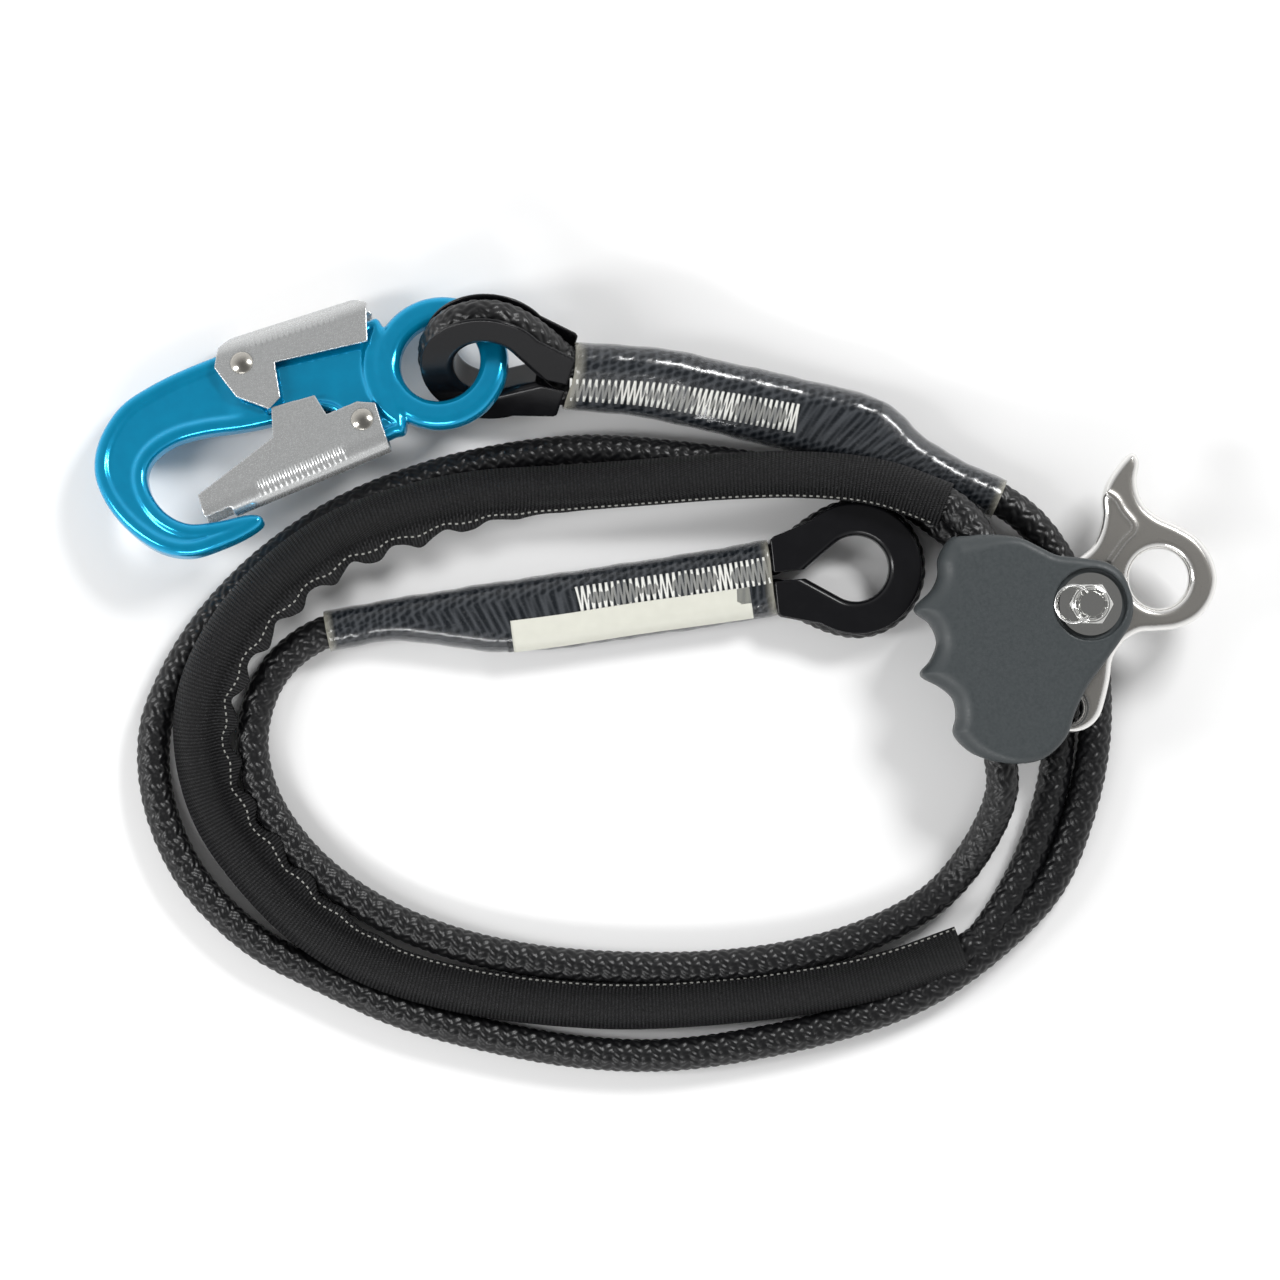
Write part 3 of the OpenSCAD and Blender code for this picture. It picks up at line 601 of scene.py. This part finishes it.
def build_webbing():
    """The folded webbing over its stretch of rope, and the row of stitches along its flap."""
    line = relaxed(curve_through(COVERED, 1.0), 30)
    _, side, up = frames(line)
    gone = distances(line)
    rings, seam = [], []
    for i, p in enumerate(line):
        share = gone[i] / gone[-1]
        flap, ruffle, _ = flap_at(share, gone[i])
        section = webbing_section(flap)
        lift = np.clip((-section[:, 0] - CHAFE_R) / max(flap, 0.1), 0, 1)
        x = section[:, 0] - lift * ruffle * 1.9
        y = section[:, 1] + lift * ruffle
        sag = min(0, p[2] - CHAFE_R - 0.1)
        rings.append(p + x[:, None] * side[i] + (y - sag)[:, None] * up[i])
        seam.append(p - (CHAFE_R + flap * 0.5 + ruffle * 0.95) * side[i] + (ruffle * 0.5 + 1.12 - sag) * up[i])
    cols = len(rings[0])
    outer = np.array(rings)
    centre = outer.mean(1, keepdims=True)
    inner = centre + (outer - centre) * 0.9
    faces, uvs = grid(len(line), cols, True, None, gone / 1.25)
    points, all_faces = joined([(outer.reshape(-1, 3), faces), (inner.reshape(-1, 3), faces[:, ::-1])])
    shift = len(line) * cols
    rims, rim_uv = [], []
    for row in (0, len(line) - 1):
        for k in range(cols):
            a, b = row * cols + k, row * cols + (k + 1) % cols
            quad = [a, b, b + shift, a + shift]
            rims.append(quad[::-1] if row == 0 else quad)
            rim_uv.append([[0, 0], [0, 0.02], [0.5, 0.02], [0.5, 0]])
    uv = np.concatenate([uvs, uvs[:, ::-1], np.array(rim_uv)])
    webbing = add_mesh("chafe_webbing", points, np.vstack([all_faces, rims]), WEBBING, uv)
    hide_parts("chafe_sleeve")
    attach(webbing, "lanyard")
    seam = np.array(seam)
    parts, pitch = [], 2.5
    total = length_of(seam)
    seam = resampled(seam, int(total / 0.25))
    step = total / (len(seam) - 1)
    n = int(pitch / step)
    for start in range(0, len(seam) - n, n):
        dash = seam[start:start + int(n * 0.56) + 1].copy()
        bow = np.sin(np.linspace(0, math.pi, len(dash)))
        dash[:, 2] += 0.16 * bow - 0.1
        parts.append(thread(dash[::2], 0.3, 6))
    stitches = add_mesh("chafe_seam_thread", *joined(parts), PALE_THREAD)
    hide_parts("chafe_stitching")
    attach(stitches, "lanyard")
    return webbing, stitches


# ---- Splice sleeves and their stitching ----


def pair_lines(right, left, step=1.0):
    count = int(length_of(curve_through((right + left) / 2, step)) / step)
    # Both lines are cut at the same shares of the given points, so that their points stay level.
    k = np.arange(len(right))
    t = np.linspace(0, len(right) - 1, count)
    r = np.stack([np.interp(t, k, right[:, c]) for c in range(3)], 1)
    l = np.stack([np.interp(t, k, left[:, c]) for c in range(3)], 1)
    return relaxed(r, 60), relaxed(l, 60)


def pair_frames(right, left):
    """The middle line of two ropes, and unit vectors from the right one to the left one and upward."""
    mid = (right + left) / 2
    t, level, _ = frames(mid)
    across = left - right
    across = across - (across * t).sum(1)[:, None] * t
    gap = np.linalg.norm(across, axis=1)[:, None]
    share = step_up(gap, 1.0, 6.0)
    side = unit(relaxed(across / np.maximum(gap, 0.01) * share + level * (1 - share), 20))
    return mid, side, np.cross(t, side)


def pair_tube(right, left, radius, half=20):
    """A tube round two lines side by side, flat over the gap between them."""
    mid, side, up = pair_frames(right, left)
    rings = []
    for i in range(len(mid)):
        a = np.radians(np.linspace(-90, 90, half))
        arc = np.cos(a)[:, None] * side[i] + np.sin(a)[:, None] * up[i]
        b = np.radians(np.linspace(90, 270, half))
        back = np.cos(b)[:, None] * side[i] + np.sin(b)[:, None] * up[i]
        rings.append(np.vstack([left[i] + radius[i] * arc, right[i] + radius[i] * back]))
    return np.array(rings)


def build_sleeve(name, node, right, left):
    """A thin clear tube, slightly wavy, shrunk over the pair of ropes."""
    right, left = pair_lines(right, left)
    n = len(right)
    share = np.linspace(0, 1, n)
    wave = 0.12 * np.sin(share * 41) + 0.08 * np.sin(share * 97 + 1)
    outer = pair_tube(right, left, SPLICE_R + 0.1 + wave)
    inner = pair_tube(right, left, np.full(n, SPLICE_R - 0.45) + wave)
    cols = outer.shape[1]
    faces, uvs = grid(n, cols, True, None, share)
    shift = n * cols
    rims, rim_uv = [], []
    for row in (0, n - 1):
        for k in range(cols):
            a, b = row * cols + k, row * cols + (k + 1) % cols
            quad = [a, b, b + shift, a + shift]
            rims.append(quad[::-1] if row == 0 else quad)
            rim_uv.append([[0, 0]] * 4)
    points, all_faces = joined([(outer.reshape(-1, 3), faces), (inner.reshape(-1, 3), faces[:, ::-1])])
    sleeve = add_mesh(name, points, np.vstack([all_faces, rims]), SLEEVE,
                      np.concatenate([uvs, uvs[:, ::-1], np.array(rim_uv, float)]))
    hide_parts(node)
    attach(sleeve, "lanyard")
    return sleeve, right, left


def build_zigzag(name, node, right, left, low, high, width, shift=0.0, pitch=1.95):
    """White thread sewn in a zigzag across the two ropes, between two shares of the sleeve."""
    mid, side, up = pair_frames(right, left)
    n = len(mid)
    part, side, up = (rows[int(low * n):int(high * n)] for rows in (mid, side, up))
    total = length_of(part)
    turns = int(total / pitch * 2)
    parts = []
    where = np.linspace(0, len(part) - 1.001, turns)

    def at(value, across):
        i = int(value)
        f = value - i
        p = part[i] * (1 - f) + part[min(i + 1, len(part) - 1)] * f
        height = SPLICE_R - 0.05
        return p + (across + shift) * side[i] + height * up[i]

    for k in range(turns - 1):
        swing = width / 2 * (1 if k % 2 else -1)
        a, b = at(where[k], -swing), at(where[k + 1], swing)
        count = 7
        run = np.linspace(0, 1, count)[:, None]
        sag = np.sin(run * math.pi) * -0.35
        stitch = a * (1 - run) + b * run + sag * UP
        parts.append(thread(stitch, 0.46, 6))
    zigzag = add_mesh(name, *joined(parts), WHITE_THREAD)
    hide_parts(node)
    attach(zigzag, "lanyard")
    return zigzag


def build_label():
    route = np.vstack([seated([[-47, -37.2, 7]]), TAIL_TAIL[::-1][1:], seated([[33, -25.8, 7]])])
    line = relaxed(curve_through(route, 1.0), 12)
    _, side, up = frames(line)
    a = np.radians(np.linspace(34, 128, 24))
    r = SPLICE_R + 0.42
    # Round the rope up to its top, and flat from there over the gap between the two ropes.
    across = np.where(a < math.pi / 2, -np.cos(a), a - math.pi / 2)
    rise = np.where(a < math.pi / 2, np.sin(a), 1.0)
    arc = r * (across[:, None, None] * side[None] + rise[:, None, None] * up[None])
    outer = (line[None] + arc).transpose(1, 0, 2)
    inner = (line[None] + arc * 0.95).transpose(1, 0, 2)
    faces, _ = grid(len(line), 24, False)
    count = len(line) * 24
    points, both = joined([(outer.reshape(-1, 3), faces[:, ::-1]), (inner.reshape(-1, 3), faces)])
    rim = []
    for i in range(len(line) - 1):
        for k, turn in ((0, 1), (23, -1)):
            q, w = i * 24 + k, (i + 1) * 24 + k
            quad = [q, w, w + count, q + count]
            rim.append(quad[::turn])
    for i, turn in ((0, -1), (len(line) - 1, 1)):
        for k in range(23):
            q, w = i * 24 + k, i * 24 + k + 1
            rim.append([q, w, w + count, q + count][::turn])
    label = add_mesh("label_wrap", points, np.vstack([both, rim]), LABEL)
    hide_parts("data_label")
    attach(label, "lanyard")
    return label


rope, rope_line = build_rope()
webbing, webbing_seam = build_webbing()
hook_sleeve, hook_r, hook_l = build_sleeve("hook_sleeve_clear", "hook_splice_sleeve", HOOK_RIGHT, HOOK_LEFT)
tail_sleeve, tail_r, tail_l = build_sleeve("tail_sleeve_clear", "tail_splice_sleeve", TAIL_RIGHT, TAIL_LEFT)
hook_zigzag = build_zigzag("hook_splice_thread", "hook_splice_stitching", hook_r, hook_l, 0.005, 0.44, 9.8)
tail_zigzag = build_zigzag("tail_splice_thread", "tail_splice_stitching", tail_r, tail_l, 0.55, 0.995, 9.0, 2.6)
label = build_label()

length_of(relaxed(curve_through(COVERED, 1.0), 30)) * MM

# ---- Hard pieces ----


def solid(name, field_of, low, high, step, material, node, body, place):
    """A solid piece from its field over a box, put in its place."""
    grid_axes = axes(low, high, step)
    x, y, z = np.meshgrid(*grid_axes, indexing="ij", sparse=True)
    field = field_of(x, y, z)
    points, faces = net(np.broadcast_to(field, tuple(len(a) for a in grid_axes)), grid_axes)
    piece = add_mesh(name, place(points), faces, material)
    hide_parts(node)
    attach(piece, body)
    return piece


def flat_distance(x, y, outline):
    """Distance to an outline on the flat grid of x and y, kept three-dimensional."""
    gx, gy = np.broadcast_arrays(x[..., 0], y[..., 0])
    return outline_field(gx, gy, outline)[..., None]


def closed_curve(points, step=1.0):
    return curve_through(points, step, closed=True)[:-1]


GRIP_OUTLINE = [
    (-50, 15.4), (-46, 21.9), (-40, 23), (-31, 23), (-23, 21.8), (-17, 19), (-11, 16.2), (-3, 15.3), (5, 14),
    (10, 10.8), (12.6, 6), (14.2, 0), (13.4, -6.2), (10, -12), (4, -20.4), (-1, -27.4), (-5.1, -36), (-7.4, -43),
    (-11.5, -48.2), (-17, -51.8), (-25, -52.9), (-34.8, -51.4), (-41, -48), (-45, -43), (-44.1, -37.5),
    (-45.2, -31.6), (-49.6, -27.6), (-55.2, -24.6), (-55.8, -22.4), (-52.6, -18.6), (-50.6, -12.6), (-53, -6.6),
    (-57.4, -3.2), (-57.6, -0.6), (-52.6, 4.3), (-50.2, 9.4)]
LINE_TOP, LINE_LOW = np.array([-35.5, 16.0]), np.array([-29.6, -51.0])
LINE_DIR = unit(LINE_LOW - LINE_TOP)
LINE_RIGHT = np.array([-LINE_DIR[1], LINE_DIR[0]])
SLOT_LEFT = -(ROPE_R + 0.3) - 2 - 0.3


def grip_field(x, y, z):
    flat = flat_distance(x, y, closed_curve(GRIP_OUTLINE))
    edge = 2.4 + 4.6 * step_up(-x, 22, 44)
    body = rounded_slab(flat, z, GRIP_HALF, edge)
    across = (x - LINE_TOP[0]) * LINE_RIGHT[0] + (y - LINE_TOP[1]) * LINE_RIGHT[1]
    slot = np.maximum(np.abs(z) - SLOT_HALF, SLOT_LEFT - across)
    r = np.hypot(x, y)
    body = np.maximum(body, -slot)
    body = np.maximum(body, -np.maximum(r - 12, GRIP_HALF - 2.4 - z))
    body = np.maximum(body, -np.maximum(r - 7.6, z + GRIP_HALF - 4.4))
    lip = np.hypot(r - 12.6, np.maximum(z - GRIP_HALF + 0.4, 0)) - 0.55
    return np.minimum(np.maximum(body, 4.1 - r), np.where(flat < -2.0, lip, 9))


CAM_OUTLINE = [
    (13.4, 50), (15.4, 49.8), (16.6, 46.6), (15.8, 41.5), (16.6, 36.6), (19, 32.2), (23.4, 28.9),
    (30, 25.9), (36, 22), (40.3, 16.4),
    (42.4, 10), (41.9, 4.2), (39.4, -1.2), (35.2, -5.4), (29, -8.1), (22.1, -8.9), (16.8, -9.3), (12.3, -11.8),
    (9.2, -15.4), (7.6, -19), (6.8, -25), (5.4, -31.2), (3.6, -36.8), (0.6, -40.4), (-3.4, -42.3), (-8, -42.4),
    (-12, -39.6), (-15.4, -33), (-20, -26), (-24, -18.6), (-26.6, -10), (-27.2, -2), (-25.6, 4), (-21, 9.4),
    (-13, 12.8), (-5, 14.6), (0.6, 18.6), (3.4, 23.7), (4.6, 29.6), (4.4, 35.6), (6.2, 41), (10, 46.6)]
CAM_RIB = [(6, 37.2), (9, 35), (11.4, 31), (14.6, 27), (14.6, 24.3), (11.4, 21), (6.9, 14.7)]
CAM_EYE = (23.1, 8.5)


def cam_field(x, y, z):
    flat = flat_distance(x, y, closed_curve(CAM_OUTLINE))
    eye = 9.9 - np.hypot(x - CAM_EYE[0], y - CAM_EYE[1])
    window = 5.4 - np.hypot(x + 7.4, y + 34.4)
    body = rounded_slab(np.maximum(np.maximum(flat, eye), window), z, CAM_HALF - 0.35, 2.7)
    rib = curve_through([p + (0,) for p in CAM_RIB], 1.0)[:, :2]
    near = np.full(flat.shape, 99.0)
    for px, py in rib:
        near = np.minimum(near, np.hypot(x - px, y - py))
    ridge = np.hypot(near, (np.abs(z) - CAM_HALF + 1.35)) - 1.35
    body = blended(body, np.maximum(ridge, flat + 0.8), 0.7)
    r = np.hypot(x, y)
    body = np.maximum(body, 6 - r)
    return np.maximum(body, -np.maximum(r - 10.5, z + CAM_HALF - 5.4))


def at_axle(points):
    return points + AXLE + np.array([0, 0, GRAB_Z])


solid("grab_grip", grip_field, (-60, -55, -15), (17, 26, 15), 0.5, SLATE, "finger_grip", "lanyard",
      at_axle)
solid("grab_cam", cam_field, (-29, -45, -7), (45, 53, 7), 0.42, CAM_STEEL, "cam_arm", "cam", at_axle)

HOOK_OUTLINE = [
    (15, 17.8), (20, 21.4), (28, 23.4), (45, 25), (64, 25.8), (80, 25), (94, 23), (106, 19.4), (114.6, 12.6),
    (119.8, 4.6), (121.5, -4), (119.6, -14.6), (114.4, -25.4), (107, -34), (97.6, -38.6), (86, -38.6), (77, -37.2),
    (72, -35.2), (71.8, -32.6), (76, -30.8), (86, -29.8), (95.4, -27.6), (101.6, -22), (104.8, -14), (104.4, -6.6),
    (100, -1.6), (92, 0.8), (82, 0.4), (70, -1.8), (58, -3), (46, -3), (39.4, -5.6), (36.6, -11), (34.6, -17),
    (29.4, -19.4), (22, -19.6), (16.4, -15.8)]
HOOK_HALF = 4.2


def hook_field(x, y, z):
    flat = flat_distance(x, y, closed_curve(HOOK_OUTLINE))
    body = rounded_slab(flat, z, HOOK_HALF, 2.6)
    rho = np.hypot(x, y)
    bow = 1.0 * step_up(-flat, 3.4, 5.6) * step_up(x, 66, 74)
    web = 1.4 * step_up(-flat, 2.0, 3.6) * (1 - step_up(x, 58, 61)) * step_up(rho, 24.5, 27)
    body = np.maximum(body, np.abs(z) - HOOK_HALF + bow + web)
    ring = rounded_slab(np.abs(rho - 18.15) - 4.65, z, 4.1, 3.0)
    body = np.maximum(blended(body, ring, 1.2), 13.5 - rho)
    for px, py in (GATE_PIVOT, LOCK_PIVOT):
        body = np.maximum(body, 2.0 - np.hypot(x - px, y - py))
    return body


solid("hook_forging", hook_field, (-24.5, -41, -5.5), (124, 28, 5.5), 0.5, BLUE, "hook_body", "hook",
      on_hook)

GATE_OUTLINE = [(24, -24), (24.2, -8), (30, -5.6), (41, -6.6), (43, 1), (58, 1.6), (60.5, -8.6), (89.8, -20),
                (89.8, -30.4)]
LEVER_OUTLINE = [(17.6, 26.4), (20.8, 13), (52.6, 15.8), (54, 3.6), (59, 0.8), (68.2, 8.2), (70.4, 14), (72.6, 20.3),
                 (69.6, 27), (63.7, 30.4), (22.9, 30.5)]


def folded_field(outline, pivot, gap, start, end, ridge_pitch, ridges):
    """A sheet folded round an edge: two side plates, and a half-round bend along part of one side."""
    middle, outer = gap + SHEET_T / 2, gap + SHEET_T
    (ax, ay), (bx, by) = start, end
    length = math.hypot(bx - ax, by - ay)
    dx, dy = (bx - ax) / length, (by - ay) / length

    def field(x, y, z):
        flat = flat_distance(x, y, outline)
        inward = -(x - ax) * dy + (y - ay) * dx
        along = (x - ax) * dx + (y - ay) * dy
        bend = np.hypot(np.minimum(inward - outer, 0), z)
        plates = np.maximum(np.abs(np.abs(z) - middle) - SHEET_T / 2, bend - outer)
        teeth = 0.16 * np.sin(along * 2 * math.pi / ridge_pitch)
        teeth = teeth * step_up(inward, 1.5, 3) * (1 - step_up(inward, 6.4, 7.6))
        teeth = teeth * step_up(along, ridges[0], ridges[0] + 1) * (1 - step_up(along, ridges[1], ridges[1] + 1))
        shell = np.abs(bend - middle) - SHEET_T / 2 - teeth
        inside = along < length
        body = np.where(inside, np.maximum(shell, -np.minimum(inward, 1) * 1.0), plates)
        body = np.maximum(body, flat + 0.02)
        return np.maximum(body, 2.05 - np.hypot(x - pivot[0], y - pivot[1]))

    return field


solid("hook_gate", folded_field(GATE_OUTLINE, GATE_PIVOT, PLATE_GAP, (24.2, -24.0), (80, -29.45), 1.95, (13, 45)),
      (22, -32, -7), (92, 3.5, 7), 0.35, GATE_STEEL, "gate", "gate", on_hook)
solid("hook_lever", folded_field(LEVER_OUTLINE, LOCK_PIVOT, LOCK_GAP, (63.6, 30.5), (16, 30.5), 2.0, (3, 35)),
      (15, -1, -8.5), (75, 32, 8.5), 0.35, GATE_STEEL, "lock_lever", "lock", on_hook)


def rivet_field(half):
    """A shank with a domed head at each end."""

    def field(x, y, z):
        r = np.hypot(x, y)
        dome = np.hypot(r, np.abs(z) - half + 4.6) - 6.2
        head = np.maximum(np.maximum(dome, half - np.abs(z)), r - 4.2)
        return np.minimum(head, np.maximum(r - 2, np.abs(z) - half - 0.4))

    return field


def nut_field(x, y, z):
    """A hexagon with its corners chamfered, a tapered crown, and three slots across the crown."""
    r = np.hypot(x, y)
    hexagon = np.full(r.shape, -99.0)
    for k in range(3):
        a = math.radians(60 * k + 30)
        hexagon = np.maximum(hexagon, np.abs(x * math.cos(a) + y * math.sin(a)) - 6.5)
    base = rounded_slab(hexagon, z - 2.2, 2.2, 0.35)
    base = np.maximum(base, (r - 6.9 + (z - 3.6)) * 0.7)
    crown = np.maximum(r - 5.6 + 0.22 * np.maximum(z - 4.4, 0), np.abs(z - 3.8) - 3.8)
    for k in range(3):
        a = math.radians(60 * k)
        crown = np.maximum(crown, -np.maximum(np.abs(y * math.cos(a) - x * math.sin(a)) - 1.2, 4.9 - z))
    return np.maximum(np.minimum(base, crown), 4.0 - r)


for name, node, pivot, half in (("gate_rivet_domed", "gate_rivet", GATE_PIVOT, PLATE_GAP + SHEET_T + 0.05),
                                ("lock_rivet_domed", "lock_rivet", LOCK_PIVOT, LOCK_GAP + SHEET_T + 0.05)):
    solid(name, rivet_field(half), (-5, -5, -half - 3), (5, 5, half + 3), 0.25, RIVET, node, "hook",
          lambda points, pivot=pivot: on_hook(points + np.array([pivot[0], pivot[1], 0])))
solid("axle_castle_nut", nut_field, (-8, -8, -1), (8, 8, 9), 0.22, ZINC, "castle_nut", "lanyard",
      lambda points: points + AXLE + np.array([0, 0, NUT_Z]))


def thimble_field(x, y, z):
    """A channel bent round an eye: the opening, the rope's groove, and a flange at each side."""
    opening = teardrop(-x, np.abs(y), 18.5, EYE_HOLE_R, 0.5)
    around = np.linspace(-128, 128, 60)
    ring = [(22 * math.cos(math.radians(v)), 22 * math.sin(math.radians(v))) for v in around]
    flat = flat_distance(x, y, ring + [(-26.5, 13.5), (-27.5, 12.5), (-27.5, -12.5), (-26.5, -13.5)])
    body = np.maximum(rounded_slab(flat, z, 6.9, 0.55), rounded_slab(-opening, z, 6.9, 2.4))
    groove = np.hypot(np.maximum(opening, -5) - 7.0, z) - 5.72
    legs = np.where(x < -18, np.hypot(np.abs(y) - 7.5 - (np.abs(x) - 18) * -0.12, z) - 5.72, 99)
    body = np.maximum(body, -np.minimum(groove, legs))
    beyond = np.maximum(np.abs(z) - 5.7, 6.5 - np.maximum(opening, 0))
    body = np.maximum(body, -beyond)
    return np.maximum(body, -np.maximum(np.abs(y) - 1.5, x + 17))


def teardrop(px, py, h, r1, r2):
    """Signed distance to the hull of a circle r1 at 0 and a circle r2 at h along px."""
    b = (r1 - r2) / h
    a = math.sqrt(1 - b * b)
    k = -b * py + a * px
    return np.where(k < 0, np.hypot(px, py) - r1,
                    np.where(k > a * h, np.hypot(px - h, py) - r2, px * b + py * a - r1))


for name, node, eye in (("hook_eye_thimble", "hook_thimble", HOOK_EYE),
                        ("tail_eye_thimble", "tail_thimble", TAIL_EYE)):
    solid(name, thimble_field, (-29, -24, -8), (24, 24, 8), 0.42, THIMBLE, node, "lanyard",
          lambda points, eye=eye: placed(points, *eye))

# ---- The CAD's own pieces ----

for node, finish, bevel in (
        ("steel_channel", CHANNEL_STEEL, 0.25), ("axle_bolt", ZINC, 0.7), ("head_washer", ZINC, 0.15),
        ("nut_washer", ZINC, 0.2), ("split_ring", WIRE, 0), ("cam_bush", BRONZE, 0.1),
        ("cam_spring", SPRING, 0), ("gate_spring", SPRING, 0), ("lock_spring", SPRING, 0)):
    piece = bpy.data.objects[node]
    piece.data.materials.clear()
    piece.data.materials.append(finish)
    if bevel:
        rounding = piece.modifiers.new("rounding", "BEVEL")
        rounding.width = bevel * MM
        rounding.segments = 3
        rounding.limit_method = "ANGLE"
        rounding.angle_limit = math.radians(35)

# ---- Floor and lights ----


def floor_finish():
    f = Finish("studio_floor")
    n = f.noise(3.0, 2)
    f.set(Base_Color=f.mix(n, grey(0.86), grey(0.9)), Roughness=0.75, Specular_IOR_Level=0.2)
    return f.material


floor = add_mesh("studio_floor", [(-3000, -3000, -0.3), (3000, -3000, -0.3), (3000, 3000, -0.3), (-3000, 3000, -0.3)],
                 [[0, 1, 2, 3]], floor_finish(), smooth=False)


def add_light(name, at, size, power):
    data = bpy.data.lights.new(name, "AREA")
    data.shape = "RECTANGLE"
    data.size, data.size_y = size[0] * MM, size[1] * MM
    data.energy = power
    light = bpy.data.objects.new(name, data)
    light.location = np.array(at) * MM
    direction = CAMERA_TARGET - np.array(at)
    yaw = math.atan2(direction[1], direction[0])
    tilt = math.acos(-direction[2] / np.linalg.norm(direction))
    light.rotation_euler = (0, 0, 0)
    light.rotation_mode = "XYZ"
    light.rotation_euler = (tilt, 0, yaw - math.pi / 2)
    bpy.context.scene.collection.objects.link(light)


add_light("key", (560, 620, 850), (380, 240), 9)
add_light("fill", (-880, -120, 640), (220, 520), 5)
add_light("low", (-250, -800, 640), (620, 160), 3.5)
world = bpy.data.worlds.new("studio")
bpy.context.scene.world = world
world.use_nodes = True
background = world.node_tree.nodes["Background"]
# The room is bright near the floor and darker overhead, so flat faces stay deeper than rounded edges.
sky = world.node_tree.nodes
height = sky.new("ShaderNodeSeparateXYZ")
shade = sky.new("ShaderNodeMapRange")
world.node_tree.links.new(sky.new("ShaderNodeTexCoord").outputs["Generated"], height.inputs[0])
world.node_tree.links.new(height.outputs[2], shade.inputs[0])
for k, value in ((1, 0.2), (2, 0.9), (3, 0.95), (4, 0.2)):
    shade.inputs[k].default_value = value
world.node_tree.links.new(shade.outputs[0], background.inputs["Strength"])
background.inputs["Color"].default_value = (1.0, 1.0, 1.0, 1)
bpy.context.scene.view_settings.view_transform = "Standard"
